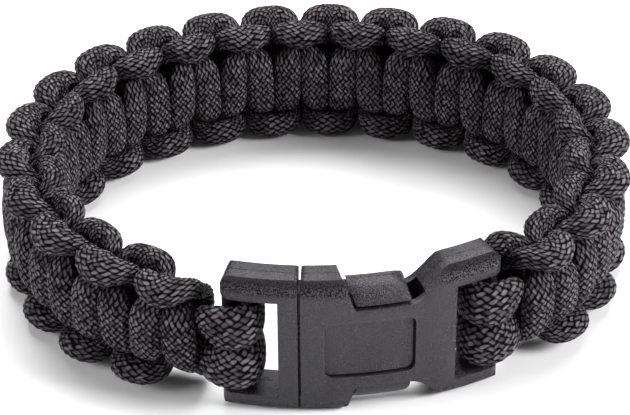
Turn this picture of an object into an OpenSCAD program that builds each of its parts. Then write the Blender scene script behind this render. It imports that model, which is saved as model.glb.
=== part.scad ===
// Knotted paracord bracelet, closed with a curved side-release buckle. Millimetres.
// It rests on its edge: Z is the ring's axis, the floor is z = 0, the buckle faces -Y, and the
// ring's half width lies along X. Places on the ring are given in band coordinates: along the
// ring's middle line from its front point towards +X, across the band (up), and out from the ring.

/* [Ring] */
// From the ring's axis to the middle of the band at the left and right
ring_half_w = 34.6; // [33:0.2:38]
// From the ring's axis to the middle of the band at the front and back
ring_half_d = 29.5; // [28.5:0.1:32]
// How much longer than ring_half_w the bend radius is at the front and back
front_flat = 6; // [4:0.5:8]

/* [Knotted band] */
// Width of the band over both rows of turns
band_w = 17.3; // [16.6:0.1:19]
// Length of one full repeat of the knot, which is fitted to the stretch between the bars
knot_pitch = 7.9; // [7.5:0.1:8.5]
// Thickness of the cord where the knots squeeze it flat
cord_t = 2.75; // [2.5:0.05:3.1]
// Gap between strands that lie on each other
strand_gap = 0.2; // [0.1:0.05:0.3]
// From the middle of each buckle bar to the nearest crossing of the knot
knot_lead = 5.2; // [5.1:0.1:5.8]
// How much narrower the knots next to the buckle are, as a share
pinch = 0.09; // [0:0.01:0.15]
// From each bar to where the band has its full width again
pinch_len = 26; // [18:1:32]
// Depth of the band's side towards the wrist, as a share of its outer side
inner_share = 0.76; // [0.7:0.02:1]

/* [Loops over the buckle bars] */
// Width of a strand where it lies free over a bar
loop_w = 5.6; // [5.2:0.1:5.8]
// Thickness of a strand where it lies free over a bar
loop_t = 2.7; // [2.5:0.1:2.9]
// Gap between the two strands side by side on a bar
loop_gap = 0.2; // [0.1:0.1:0.6]
// From the middle of a bar to the strand's middle where it turns round the bar
loop_reach = 2.6; // [2.5:0.1:2.8]

/* [Buckle] */
// Height of the buckle, across the band
buckle_h = 18.2; // [17.6:0.1:19]
// Thickness of the buckle
buckle_t = 5; // [4.6:0.1:5.4]
// Where the two halves meet, along the band from the ring's front point
seam_at = -1.75; // [-3:0.25:0]
// Gap between the two halves
seam_gap = 0.3; // [0.2:0.05:0.5]
// Length of the male half's frame, along the band
male_len = 8.8; // [8.6:0.1:9.4]
// Length of the female half, along the band
female_len = 23.5; // [23:0.1:25]
// Radius of the long outer edges
edge_r = 1.6; // [1.2:0.1:1.8]
// Width of the small bevels on the edges towards the wrist
inner_bevel = 0.5; // [0.3:0.1:0.8]
// Height of the rails above and below each slot
rail_h = 2.3; // [2:0.1:2.6]
// Length of the male half's slot that the cord passes through
male_slot = 4.85; // [4.7:0.05:5.2]
// Length of the female half's slot
female_slot = 4.3; // [4.2:0.05:4.6]
// Width of each round-edged bar that the cord is looped over
bar_w = 1.8; // [1.6:0.1:2]
// Depth of each bar, from the wrist's side outwards
bar_t = 2.6; // [2.4:0.1:2.8]
// Radius of the rails' ends at the bars, seen from in front
end_r = 1.3; // [1:0.1:1.4]
// Radius of the rails' ends at the bars, seen from above: the outer corner
nose_r = 1.8; // [1.4:0.1:1.8]
// The same for the corner towards the wrist
heel_r = 0.8; // [0.5:0.1:0.9]
// Radius of the corners where the two halves meet
seam_r = 0.7; // [0.4:0.1:1]

/* [Release tabs] */
// Length of the shoulders beside the seam, at the buckle's top and bottom edges
shoulder_len = 4.6; // [4.2:0.1:4.8]
// How far the shoulder's side slants back on its way down into the notch
shoulder_slant = 1.1; // [0.9:0.1:1.3]
// Depth of the two notches that leave the tabs free
notch_depth = 3.5; // [3.2:0.1:3.8]
// Length of the notch's flat floor
notch_floor = 6.4; // [6.2:0.1:6.6]
// Length of the flare that brings the notch back to the full height
flare_len = 6; // [5.6:0.1:6.2]
// Thickness of the tabs
tab_t = 4.2; // [3.8:0.1:4.4]
// Radius of the tabs' long outer edges
tab_r = 2.2; // [1.8:0.1:2.4]
// How far the tabs stay below the buckle's top and bottom edges
tab_drop = 0.9; // [0.6:0.1:1.1]
// Clearance round the tabs
tab_gap = 0.35; // [0.25:0.05:0.5]

/* [Socket and panel] */
// Thickness of the socket that the prongs sit in
socket_t = 3.1; // [2.8:0.1:3.3]
// Wall of the socket beside the prongs, at the shoulders
socket_wall = 1.4; // [1.2:0.1:1.5]
// Length of the socket
socket_len = 14; // [13.8:0.1:14.4]
// Clearance between the prongs and the socket
prong_gap = 0.2; // [0.15:0.05:0.3]
// How far the plug at the root of the prongs goes into the socket
plug_len = 0.8; // [0.5:0.1:1.5]
// Height of each prong's arm
arm_h = 2.2; // [2:0.1:2.4]
// Height of the guide between the arms
guide_h = 3.6; // [3:0.1:4]
// Length of the sunk panel on the face
panel_len = 10.7; // [9:0.1:11]
// Height of the sunk panel
panel_h = 7.8; // [7:0.1:8.6]
// Depth of the sunk panel
panel_d = 0.3; // [0.2:0.05:0.4]
// Radius of the panel's corners
panel_r = 1; // [0.5:0.1:1.2]
// From the seam to the panel
panel_at = 2.3; // [2:0.1:2.4]

/* [Hidden] */

plastic = [0.07, 0.07, 0.075];
cord_black = [0.04, 0.04, 0.045];

// The ring's middle line: two flat arcs at the front and back, two tighter ones at the sides.
front_r = ring_half_w + front_flat;
side_r = ring_half_d - (ring_half_w - ring_half_d) ^ 2 / (2 * front_flat);
front_cy = front_r - ring_half_d;
side_cx = ring_half_w - side_r;
front_half = atan2(side_cx, front_cy);
deg = 180 / PI;
front_len = front_r * front_half / deg;
side_len = side_r * (180 - 2 * front_half) / deg;
ring_len = 4 * front_len + 2 * side_len;

// Band coordinates to X and Y, for a point far along the ring from its front and far out.
function ring_xy(along, out) =
    let(turns = (along + ring_len / 2) / ring_len,
        a = along - floor(turns) * ring_len,
        d = abs(a), way = a < 0 ? -1 : 1)
    d < front_len
    ? let(t = d / front_r * deg) [way * (front_r + out) * sin(t), front_cy - (front_r + out) * cos(t)]
    : d < front_len + side_len
    ? let(t = front_half + (d - front_len) / side_r * deg)
      [way * (side_cx + (side_r + out) * sin(t)), -(side_r + out) * cos(t)]
    : let(t = 180 - front_half + (d - front_len - side_len) / front_r * deg)
      [way * (front_r + out) * sin(t), -front_cy - (front_r + out) * cos(t)];

// A point of a cord in band coordinates, with the middle of the whole bracelet over the origin.
// The knots draw the band in next to the buckle, and the wrist's side is flatter than the outer.
function on_ring(p) =
    let(d = min(p[0] - bar_female, bar_male_far - p[0]),
        drawn = smooth((d - free_len) / (drawn_len - free_len)),
        width = 1 - pinch * (drawn - smooth((d - drawn_len) / (pinch_len - drawn_len))),
        depth = p[2] < 0 ? 1 - (1 - inner_share) * drawn : 1,
        q = ring_xy(p[0], p[2] * depth))
    [q[0], q[1] - middle_y, p[1] * width + mid_z];
function smooth(x) = let(t = max(0, min(1, x))) t * t * (3 - 2 * t);

// Past each bar the strands lie free at first, and then the knots draw them in.
free_len = 2.8;
drawn_len = 6.5;

// The buckle, along the band.
mid_z = max(band_w, buckle_h) / 2;
low_z = mid_z - buckle_h / 2;
seam_lo = seam_at - seam_gap / 2;
seam_hi = seam_at + seam_gap / 2;
male_end = seam_lo - male_len;
female_end = seam_hi + female_len;
bar_male = male_end + bar_w / 2;
bar_female = female_end - bar_w / 2;
bar_male_far = ring_len + bar_male;

// Levels of the strands over and under a bar, and their lanes.
loop_level = bar_t / 2 + strand_gap / 2 + loop_t / 2;
loop_lane = (loop_w + loop_gap) / 2;

// The knots fill the stretch from the female bar round the back to the male bar.
first_at = bar_female + knot_lead;
stretch = ring_len + bar_male - knot_lead - first_at;
repeats = round((stretch + knot_pitch / 2) / knot_pitch);
spacing = stretch / (2 * repeats - 1);
last = 2 * repeats - 1;

// One quarter of the knot, from the middle of a crossing strand to the middle of the turn that it
// runs into, in knot units: a unit is the spacing of the crossings. out is negative where the
// outer cord passes behind. wide and thick are half sizes of the flattened cord.
ALONG = 0; ACROSS = 1; OUT = 2; WIDE = 3; THICK = 4; FACING = 5;
QUARTER = [
    // along, across,   out,  wide, thick
    [   0.00,   0.00,  0.75,  0.48,  0.36 ], // middle of the crossing strand
    [  -0.02,   0.66,  0.76, 0.475,  0.35 ], // still at its full width
    [  -0.08,   1.00,  0.64,  0.42,  0.27 ], // over the core's edge
    [  -0.22,   1.16,  0.36,  0.25,  0.23 ], // dives under the other cord's turn
    [  -0.28,   1.36,  0.08,  0.19,  0.26 ], // through the loop, pressed flat
    [  -0.27,   1.74, -0.26,  0.21,  0.32 ], // out at the back
    [   0.06,   1.89, -0.63,  0.43,  0.40 ], // swings into the turn
    [   0.50,   1.81, -0.69,  0.60,  0.44 ], // middle of the turn
];
TURN = len(QUARTER) - 1;
knot_half_w = 2.26;
knot_level = 0.75;
core_lane = 0.435;
core_half_w = 0.41;
core_half_t = 0.343;

// What one knot unit measures along, across and out of the band.
unit_w = band_w / 2 / knot_half_w;
unit_t = (cord_t + strand_gap) / knot_level;
knot_units = [spacing, unit_w, unit_t];

// The bracelet reaches from the loops on the male bar to the turns at the back, which stand out
// from the middle line by turn_reach knot units. A loop's skin stands out over the bar's middle by
// loop_crown of its thickness.
turn_reach = 1.17;
loop_crown = 0.45;
front_reach = (front_r + loop_level + loop_crown * loop_t) * cos(bar_male / front_r * deg) - front_cy;
back_reach = ring_half_d + turn_reach * unit_t;
middle_y = (back_reach - front_reach) / 2;

function unit(v) = v / norm(v);

// One station of crossing i: k runs from -TURN (the turn before) through 0 to TURN (the turn
// after). side is 1 for the outer cord; the inner cord is the same, half a turn about the band.
function station(i, k, side) =
    let(r = QUARTER[abs(k)], way = sign(k), up = (i % 2 == 1 ? 1 : -1) * side,
        across = way * up * r[ACROSS], out = side * r[OUT])
    concat([i + way * r[ALONG], across, out, r[WIDE], r[THICK]], unit([0, across, out]));

function crossing(i, side, from, to) = [for (k = [from : to]) station(i, k, side)];

// How far before the bar's middle the core ends, and its gap to the working cords that go on.
cut_back = 0.9;
joint_gap = 0.15;

// From behind the female bar into the first knot. along is a share of the stretch from the bar to
// the first crossing, across of the band's half width, out of the loop's level. The outer cord
// passes over the edge, and the inner cord stays on the wrist's side and crosses at once.
LEAD_OUTER = [
    // along, across,   out,  wide, thick,      facing
    [   0.20,   0.36, -1.02,  0.46,  0.34,  0,    0,   -1 ],
    [   0.40,   0.58, -1.02,  0.40,  0.34,  0,  0.3, -0.9 ],
    [   0.62,   0.76, -0.98,  0.36,  0.35,  0,  0.8, -0.6 ],
];
LEAD_INNER = [
    // along, across,   out,  wide, thick,      facing
    [   0.25,  -0.36, -1.03,  0.46,  0.33,  0,    0,   -1 ],
    [   0.55,  -0.42, -1.06,  0.44,  0.34,  0,    0,   -1 ],
    [   0.82,  -0.42, -1.08,  0.45,  0.35,  0,    0,   -1 ],
];

function lead_in(rows) =
    [for (r = rows)
        concat([(r[ALONG] - 1) * knot_lead / spacing, r[ACROSS] * knot_half_w,
                r[OUT] * loop_level / unit_t, r[WIDE], r[THICK]],
               unit([r[FACING], r[FACING + 1], r[FACING + 2]]))];

// A working cord starts behind the female bar, face to face with the end of the core's loop, and
// narrows at once. before is how far ahead of the bar's middle, as a share of the cord's start.
START = [
    // before, wide
    [    1.00, 1.00 ],
    [    0.13, 0.80 ],
];
function start(side) =
    [for (r = START)
        [(r[0] * (joint_gap - cut_back) - knot_lead) / spacing, side * loop_lane / unit_w,
         -loop_level / unit_t, r[1] * loop_w / 2 / unit_w, loop_t / 2 / unit_t, 0, 0, -1]];

// The cut end is melted to a round stub: each row goes a little further and is smaller.
TIP = [
    // on, size
    [ 0.25, 0.85 ],
    [ 0.45, 0.55 ],
    [ 0.50, 0.15 ],
];
function tip(r, towards) =
    [for (f = TIP)
        [for (c = [0 : len(r) - 1])
            c == WIDE || c == THICK ? r[c] * f[1] : r[c] + (towards[c] - r[c]) * f[0]]];

function whole_cord(side, lead, from, stop) =
    concat(start(side), lead_in(lead), crossing(0, side, from, TURN - 1),
           [for (i = [1 : last - 1]) each crossing(i, side, -TURN, TURN - 1)],
           crossing(last, side, -TURN, stop),
           tip(station(last, stop, side), station(last, stop + 1, side)));

// A cubic B-spline along a list of stations, running on straight past its two ends.
function padded_rows(c) =
    concat([2 * c[0] - c[1]], c, [2 * c[len(c) - 1] - c[len(c) - 2]]);
function at(c, u) =
    let(k = min(floor(u), len(c) - 3), t = u - k)
    ((1 - t) ^ 3 * c[k - 1] + (3 * t ^ 3 - 6 * t ^ 2 + 4) * c[k]
     + (1 + 3 * t + 3 * t ^ 2 - 3 * t ^ 3) * c[k + 1] + t ^ 3 * c[k + 2]) / 6;
function heading(c, u) =
    let(k = min(floor(u), len(c) - 3), t = u - k,
        d = -(1 - t) ^ 2 * c[k - 1] + (3 * t ^ 2 - 4 * t) * c[k]
            + (1 + 2 * t - 3 * t ^ 2) * c[k + 1] + t ^ 2 * c[k + 2])
    unit([d[0], d[1], d[2]]);

// One ring of the cord's skin: a flattened circle square to the cord's course.
SIDES = 8;
function skin_ring(c, u, units, origin) =
    let(r = at(c, u), t = heading(c, u),
        v = unit(cross(t, [r[FACING], r[FACING + 1], r[FACING + 2]])), w = cross(v, t))
    [for (k = [0 : SIDES - 1])
        let(a = 360 * k / SIDES,
            p = [r[0], r[1], r[2]] + r[WIDE] * cos(a) * v + r[THICK] * sin(a) * w)
        on_ring([origin + p[0] * units[0], p[1] * units[1], p[2] * units[2]])];

module cord_skin(stations, marks, units, origin) {
    c = padded_rows(stations);
    rings = [for (u = marks) skin_ring(c, u + 1, units, origin)];
    n = len(rings);
    walls = [for (j = [0 : n - 2]) for (k = [0 : SIDES - 1])
        let(a = j * SIDES + k, b = j * SIDES + (k + 1) % SIDES)
        each [[a, b, b + SIDES], [a, b + SIDES, a + SIDES]]];
    caps = [[for (k = [0 : SIDES - 1]) SIDES - 1 - k], [for (k = [0 : SIDES - 1]) (n - 1) * SIDES + k]];
    polyhedron([for (r = rings) each r], concat(caps, walls), convexity = 12);
}

// Where the skin's rings lie between the middle of a crossing strand and the turn, in rows of
// QUARTER: closer together where the cord bends hardest.
RINGS = [0, 2.2, 3.6, 4.9, 6.1, 7];
half_knot_marks = concat([for (k = [len(RINGS) - 2 : -1 : 1]) -RINGS[k]], RINGS);

module working_cord(side, lead, from, stop) {
    stations = whole_cord(side, lead, from, stop);
    first_mid = len(start(side)) + len(lead) - from;
    last_mid = first_mid + 2 * TURN * last;
    marks = concat(
        [for (u = [0 : first_mid + from - 1]) u],
        [for (i = [0 : last]) for (k = half_knot_marks)
            if ((i > 0 || k > from - 1) && (i < last || k < stop)) first_mid + 2 * TURN * i + k],
        [for (u = [last_mid + stop : len(stations) - 1]) u]);
    cord_skin(stations, marks, knot_units, first_at);
}

module knot_cord_outer() {
    color(cord_black) working_cord(1, LEAD_OUTER, 1 - TURN, 4);
}

module knot_cord_inner() {
    color(cord_black) working_cord(-1, LEAD_INNER, -1, 3);
}

// The core: one cord laid double. Its middle is a bight behind the male bar, and both strands run
// round the ring and over the female bar. One strand, from its end behind the female bar to the
// middle of the bight; the other is its mirror image. from is the distance from the bar towards
// the knots as a share of the loop's reach; turned is the way the strand's outer side faces.
FROM = 0; LEVEL = 1; LANE = 2; BROAD = 3; DEEP = 4; TURNED = 5;
LOOP = [
    // from, level, lane, broad, deep, turned
    [ -0.80,  -1.00, 1.00,  1.00, 1.00,  -105 ],
    [ -1.07,   0.00, 1.00,  1.00, 1.00,  -180 ],
    [ -0.85,   0.95, 1.00,  1.00, 1.00,  -250 ],
    [  0.12,   1.05, 0.99,  1.00, 1.00,  -270 ],
    [  0.64,   0.85, 0.91,  0.90, 0.92,  -270 ],
    [  1.05,   0.42, 0.71,  0.67, 0.84,  -270 ],
    [  1.40,   0.08, 0.58,  0.54, 0.86,  -270 ],
    [  1.75,   0.00, 0.57,  0.54, 0.98,  -270 ],
];
// The bight behind the male bar, from the loop to its middle.
BIGHT = [
    // from, level, lane, broad, deep, turned
    [ -0.38,  -1.03, 0.92,  0.80, 1.00,   -90 ],
    [  0.12,  -1.05, 0.56,  0.60, 1.05,   -90 ],
    [  0.25,  -1.05, 0.00,  0.56, 1.05,   -90 ],
];

function loop_row(r, bar, way, spin) =
    let(f = way * r[TURNED] + spin)
    [bar + way * r[FROM] * loop_reach, r[LANE] * loop_lane, r[LEVEL] * loop_level,
     r[BROAD] * loop_w / 2, r[DEEP] * loop_t / 2, cos(f), 0, sin(f)];

function mirrored(rows) =
    [for (i = [len(rows) - 1 : -1 : 0])
        [for (c = [0 : len(rows[i]) - 1]) c == ACROSS ? -rows[i][c] : rows[i][c]]];

core_marks = 44;
core_from = first_at + spacing / 2;
core_to = first_at + (last - 0.5) * spacing;

core_half = concat(
    [[bar_female - cut_back, loop_lane, -loop_level, loop_w / 2, loop_t / 2, 0, 0, -1]],
    [for (r = LOOP) loop_row(r, bar_female, 1, 0)],
    [for (k = [0 : core_marks])
        [core_from + (core_to - core_from) * k / core_marks, core_lane * unit_w, 0,
         core_half_w * unit_w, core_half_t * unit_t, 0, 0, 1]],
    [for (i = [len(LOOP) - 1 : -1 : 0]) loop_row(LOOP[i], bar_male_far, -1, 180)],
    [for (r = BIGHT) loop_row(r, bar_male_far, -1, 180)]);

module core_cord() {
    other = mirrored(core_half);
    stations = concat(core_half, [for (i = [1 : len(other) - 1]) other[i]]);
    color(cord_black) cord_skin(stations, [for (u = [0 : len(stations) - 1]) u], [1, 1, 1], 0);
}

// Buckle pieces are bent round the front arc's centre.
module bent(from, to) {
    translate([0, front_cy - middle_y, low_z])
        rotate([0, 0, from / front_r * deg - 90])
            rotate_extrude(angle = (to - from) / front_r * deg, $fn = 180)
                children();
}

// A flat drawing of along and up, cut straight through the band at one place on the front arc.
module through(at_s, depth) {
    translate([0, front_cy - middle_y, low_z])
        rotate([0, 0, at_s / front_r * deg])
            translate([0, -front_r, 0])
                rotate([90, 0, 0])
                    linear_extrude(height = depth, center = true)
                        children();
}

// The buckle's section: thickness and height, with rounded outer edges of radius outer and small
// bevels towards the wrist.
edge_steps = 8;
module section(t, lo, hi, outer, inner) {
    r0 = front_r - t / 2;
    middle = front_r + t / 2 - outer;
    polygon(concat(
        [[r0, hi - inner], [r0, lo + inner], [r0 + inner, lo]],
        [for (k = [0 : edge_steps])
            let(a = 90 * k / edge_steps) [middle + outer * sin(a), lo + outer * (1 - cos(a))]],
        [for (k = [0 : edge_steps])
            let(a = 90 * k / edge_steps) [middle + outer * cos(a), hi - outer * (1 - sin(a))]],
        [[r0 + inner, hi]]));
}

module plain_section(t, lo, hi) {
    translate([front_r - t / 2, lo])
        square([t, hi - lo]);
}

module body_section() {
    section(buckle_t, 0, buckle_h, edge_r, inner_bevel);
}

// What a rounded corner of radius r takes away, at one end of the buckle: way is +1 where the
// piece ends towards +X.
module corner_cuts(at_s, way, r) {
    through(at_s - way * r, 2 * buckle_t)
        for (up = [0, 1])
            translate([0, up * buckle_h])
                scale([way, up ? -1 : 1])
                    difference() {
                        translate([0, -1])
                            square([r + 1, r + 1]);
                        translate([0, r])
                            circle(r, $fn = 48);
                    }
}

// What the rounded nose of a frame takes away, seen from above, with the same way.
module nose_cuts(at_s, way) {
    translate([0, front_cy - middle_y, -1])
        rotate([0, 0, at_s / front_r * deg])
            translate([0, -front_r, 0])
                linear_extrude(height = buckle_h + 2)
                    for (side = [[-1, nose_r], [1, heel_r]])
                        scale([way, side[0]])
                            difference() {
                                translate([-side[1], buckle_t / 2 - side[1]])
                                    square(side[1] + 1);
                                translate([-side[1], buckle_t / 2 - side[1]])
                                    circle(side[1], $fn = 48);
                            }
}

module bar(at_s) {
    translate([0, front_cy - middle_y, low_z])
        rotate([0, 0, at_s / front_r * deg])
            translate([0, -front_r, rail_h / 2])
                linear_extrude(height = buckle_h - rail_h) {
                    for (way = [-1, 1])
                        translate([0, way * (bar_t - bar_w) / 2])
                            circle(d = bar_w, $fn = 40);
                    square([bar_w, bar_t - bar_w], center = true);
                }
}

slot_h = buckle_h - 2 * rail_h;

module male_frame() {
    difference() {
        bent(male_end, seam_lo)
            body_section();
        bent(male_end - bar_w, male_end + bar_w + male_slot)
            plain_section(2 * buckle_t, rail_h, rail_h + slot_h);
        corner_cuts(male_end, -1, end_r);
        nose_cuts(male_end, -1);
        corner_cuts(seam_lo, 1, seam_r);
    }
    bar(bar_male);
}

// Drawing of the upper notch: down the slanted shoulder, along the floor, and up the flare.
// The flare runs a little above the edge, so that it meets the edge at an angle.
notch_steps = 9;
flare_over = 0.2;
// Where the shoulder turns towards the floor, as shares of its slant and of the notch's depth.
knee = [0.78, 0.16];
shoulder_at = seam_hi + shoulder_len;
floor_at = shoulder_at + shoulder_slant;
flare_at = floor_at + notch_floor;
flare_end = flare_at + flare_len;
floor_z = buckle_h - notch_depth;
notch_outline = concat(
    [[shoulder_at, buckle_h],
     [shoulder_at + knee[0] * shoulder_slant, floor_z + knee[1] * notch_depth],
     [floor_at, floor_z]],
    [for (k = [0 : notch_steps])
        let(f = k / notch_steps)
        [flare_at + f * flare_len, floor_z + (notch_depth + flare_over) * (1 - cos(180 * f)) / 2]],
    [[flare_end, buckle_h + 1], [shoulder_at, buckle_h + 1]]);

module notch(up) {
    mid = (shoulder_at + flare_end) / 2;
    through(mid, 3 * buckle_t)
        translate([-mid, up ? 0 : buckle_h])
            scale([1, up ? 1 : -1])
                polygon(notch_outline);
}

module panel_cut() {
    at_s = seam_hi + panel_at + panel_len / 2;
    intersection() {
        bent(at_s - panel_len, at_s + panel_len)
            translate([front_r + buckle_t / 2 - panel_d, 0])
                square([buckle_t, buckle_h]);
        through(at_s, 3 * buckle_t)
            translate([0, buckle_h / 2]) {
                square([panel_len, panel_h - 2 * panel_r], center = true);
                square([panel_len - 2 * panel_r, panel_h], center = true);
                for (x = [-1, 1], y = [-1, 1])
                    translate([x * (panel_len / 2 - panel_r), y * (panel_h / 2 - panel_r)])
                        circle(panel_r, $fn = 40);
            }
    }
}

module buckle_female() {
    color(plastic) {
        difference() {
            bent(seam_hi, female_end)
                body_section();
            bent(seam_hi - 1, seam_hi + socket_len)
                plain_section(socket_t, socket_wall, buckle_h - socket_wall);
            notch(true);
            notch(false);
            panel_cut();
            bent(female_end - bar_w - female_slot, female_end + bar_w)
                plain_section(2 * buckle_t, rail_h, rail_h + slot_h);
            corner_cuts(female_end, 1, end_r);
            nose_cuts(female_end, 1);
            corner_cuts(seam_hi, -1, seam_r);
        }
        bar(bar_female);
    }
}

// One release tab: the notch's drawing, drawn in by the clearance, with its far end rounded. The
// end reaches over the foot of the flare.
tab_slope = 1.1;
tab_steps = 8;

module tab(up) {
    x0 = shoulder_at + tab_gap;
    lo = floor_z + tab_gap;
    hi = buckle_h - tab_drop;
    x1 = flare_at + tab_gap;
    round_len = (hi - lo) * tab_slope;
    outline = concat(
        [[x0 + shoulder_slant, lo], [x0 + shoulder_slant * tab_drop / notch_depth, hi]],
        [for (k = [0 : tab_steps])
            let(a = 90 * k / tab_steps)
            [x1 - round_len * (1 - sin(a)), lo + (hi - lo) * cos(a)]]);
    mid = (x0 + x1) / 2;
    intersection() {
        bent(x0 - 1, x1 + 1)
            section(tab_t, buckle_h - hi, hi, tab_r, 2 * inner_bevel);
        through(mid, 3 * buckle_t)
            translate([-mid, up ? 0 : buckle_h])
                scale([1, up ? 1 : -1])
                    polygon(outline);
    }
}

// The prongs inside the socket: two arms that carry the tabs, the guide between them, and the plug
// at their root that closes the socket. The arms and the guide end at a share of the notch's floor
// and of the socket.
arm_share = 0.7;
guide_share = 0.7;
module prongs() {
    prong_t = socket_t - 2 * prong_gap;
    root = seam_lo - seam_gap;
    inset = socket_wall + prong_gap;
    arm_hi = buckle_h - inset;
    arm_end = floor_at + arm_share * notch_floor;
    guide_end = seam_hi + guide_share * socket_len;
    bent(root, seam_hi + plug_len)
        plain_section(prong_t, inset, arm_hi);
    for (lo = [arm_hi - arm_h, inset])
        bent(root, arm_end)
            plain_section(prong_t, lo, lo + arm_h);
    bent(root, guide_end)
        plain_section(prong_t, (buckle_h - guide_h) / 2, (buckle_h + guide_h) / 2);
}

module buckle_male() {
    color(plastic) {
        male_frame();
        prongs();
        tab(true);
        tab(false);
    }
}

buckle_male();
buckle_female();
core_cord();
knot_cord_outer();
knot_cord_inner();
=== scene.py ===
# %% [markdown]
# # A knotted paracord bracelet
# This bracelet is a doubled core of cord with two working cords knotted round it, closed by a
# curved plastic buckle. It rests on its edge, so the ring's axis is Z and the buckle faces -Y.
# Each cord could be a curve with a round bevel, but the real cord changes its width all along:
# it is pressed flat where it crosses, squeezed thin where it dives through a loop, and swells in
# its turns. So each cord is a numpy surface, a flattened circle carried along a spline, and the
# same spline carries the woven sheath, grain by grain.

# %% Frame and tools
import math

import bpy
import bmesh
import numpy as np
from mathutils import Matrix, Vector


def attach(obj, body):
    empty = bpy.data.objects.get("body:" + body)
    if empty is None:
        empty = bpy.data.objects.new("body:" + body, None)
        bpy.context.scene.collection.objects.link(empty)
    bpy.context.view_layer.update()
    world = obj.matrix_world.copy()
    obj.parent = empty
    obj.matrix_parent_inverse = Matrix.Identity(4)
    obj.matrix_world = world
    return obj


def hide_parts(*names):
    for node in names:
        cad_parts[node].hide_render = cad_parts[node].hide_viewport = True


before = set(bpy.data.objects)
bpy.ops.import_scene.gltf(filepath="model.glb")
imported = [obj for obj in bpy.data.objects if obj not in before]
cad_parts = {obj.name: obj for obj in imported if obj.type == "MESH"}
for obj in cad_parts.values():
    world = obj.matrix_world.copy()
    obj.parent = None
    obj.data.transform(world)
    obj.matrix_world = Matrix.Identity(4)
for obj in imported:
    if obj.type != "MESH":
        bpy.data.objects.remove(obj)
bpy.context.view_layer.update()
MM = 0.001
print("CAD nodes:", sorted(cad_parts))

# %% [markdown]
# ## The sizes that shape the band
# The ring's middle line is an oval of four arcs, flatter at the front and back. Places on it are
# given in band coordinates: along the middle line from its front point, across the band, and out
# from the ring. These are the sizes of the solid model, in millimetres, so every strand lies
# where its solid does.

# %% Ring, band and bars
RING_HALF_W, RING_HALF_D = 34.6, 29.5  # from the axis to the middle line, sideways and forwards
FRONT_FLAT = 6.0  # how much longer than RING_HALF_W the bend radius is at the front and back
BAND_W = 17.3  # over both rows of turns
KNOT_PITCH = 7.9  # one repeat of the knot, before it is fitted to the stretch between the bars
CORD_T, STRAND_GAP = 2.75, 0.2  # a squeezed strand, and the gap between strands
KNOT_LEAD = 5.2  # from the middle of each bar to the nearest crossing
PINCH, PINCH_LEN = 0.09, 26.0  # how much narrower the band is by the buckle, and how far
INNER_SHARE = 0.76  # depth of the side towards the wrist, as a share of the outer side
FREE_LEN, DRAWN_LEN = 2.8, 6.5  # past a bar the strands lie free, then the knots draw them in
LOOP_W, LOOP_T, LOOP_GAP = 5.6, 2.7, 0.2  # the two strands side by side on a bar
LOOP_REACH = 2.6  # from the middle of a bar to the strand that turns round it
LOOP_CROWN = 0.45  # how far a loop stands out from its middle, as a share of LOOP_T
BUCKLE_H, BUCKLE_T, EDGE_R = 18.2, 5.0, 1.6  # EDGE_R is the radius of the long outer edges
SEAM_AT, SEAM_GAP = -1.75, 0.3  # where the buckle's halves meet
MALE_LEN, FEMALE_LEN = 8.8, 23.5
BAR_W, BAR_T = 1.8, 2.6
KNOT_HALF_W, KNOT_LEVEL, TURN_REACH = 2.26, 0.75, 1.17  # the knot's own size, in knot units

# %% Sizes that follow from them
FRONT_R = RING_HALF_W + FRONT_FLAT
SIDE_R = RING_HALF_D - (RING_HALF_W - RING_HALF_D) ** 2 / (2 * FRONT_FLAT)
FRONT_CY = FRONT_R - RING_HALF_D
SIDE_CX = RING_HALF_W - SIDE_R
FRONT_HALF = math.atan2(SIDE_CX, FRONT_CY)
FRONT_LEN = FRONT_R * FRONT_HALF
SIDE_LEN = SIDE_R * (math.pi - 2 * FRONT_HALF)
RING_LEN = 4 * FRONT_LEN + 2 * SIDE_LEN

BAR_MALE = SEAM_AT - SEAM_GAP / 2 - MALE_LEN + BAR_W / 2
BAR_FEMALE = SEAM_AT + SEAM_GAP / 2 + FEMALE_LEN - BAR_W / 2
BAR_MALE_FAR = RING_LEN + BAR_MALE
LOOP_LEVEL = (BAR_T + STRAND_GAP + LOOP_T) / 2
LOOP_LANE = (LOOP_W + LOOP_GAP) / 2
MIDDLE_Z = max(BAND_W, BUCKLE_H) / 2

FIRST_AT = BAR_FEMALE + KNOT_LEAD
STRETCH = RING_LEN + BAR_MALE - KNOT_LEAD - FIRST_AT
REPEATS = round((STRETCH + KNOT_PITCH / 2) / KNOT_PITCH)
SPACING = STRETCH / (2 * REPEATS - 1)
LAST = 2 * REPEATS - 1

UNIT_W = BAND_W / 2 / KNOT_HALF_W
UNIT_T = (CORD_T + STRAND_GAP) / KNOT_LEVEL
KNOT_UNITS = np.array([SPACING, UNIT_W, UNIT_T])
LOOP_R = FRONT_R + LOOP_LEVEL + LOOP_CROWN * LOOP_T
FRONT_REACH = LOOP_R * math.cos(BAR_MALE / FRONT_R) - FRONT_CY
MIDDLE_Y = (RING_HALF_D + TURN_REACH * UNIT_T - FRONT_REACH) / 2
print(f"middle line {RING_LEN:.1f} mm, {REPEATS} repeats, crossings {SPACING:.2f} mm apart")

# %% [markdown]
# ## From the band to the ring
# The real band is knotted straight and then bent round the wrist. A curve modifier could bend a
# straight mesh in the same way, but it can't draw the band in next to the buckle, or press the
# wrist's side flat. So one function carries every point from band coordinates to the frame.

# %% Band coordinates to the frame
def smooth_step(x):
    """0 below 0, 1 above 1, and 3 x squared less 2 x cubed between."""
    t = np.clip(x, 0, 1)
    return t * t * (3 - 2 * t)


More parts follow.
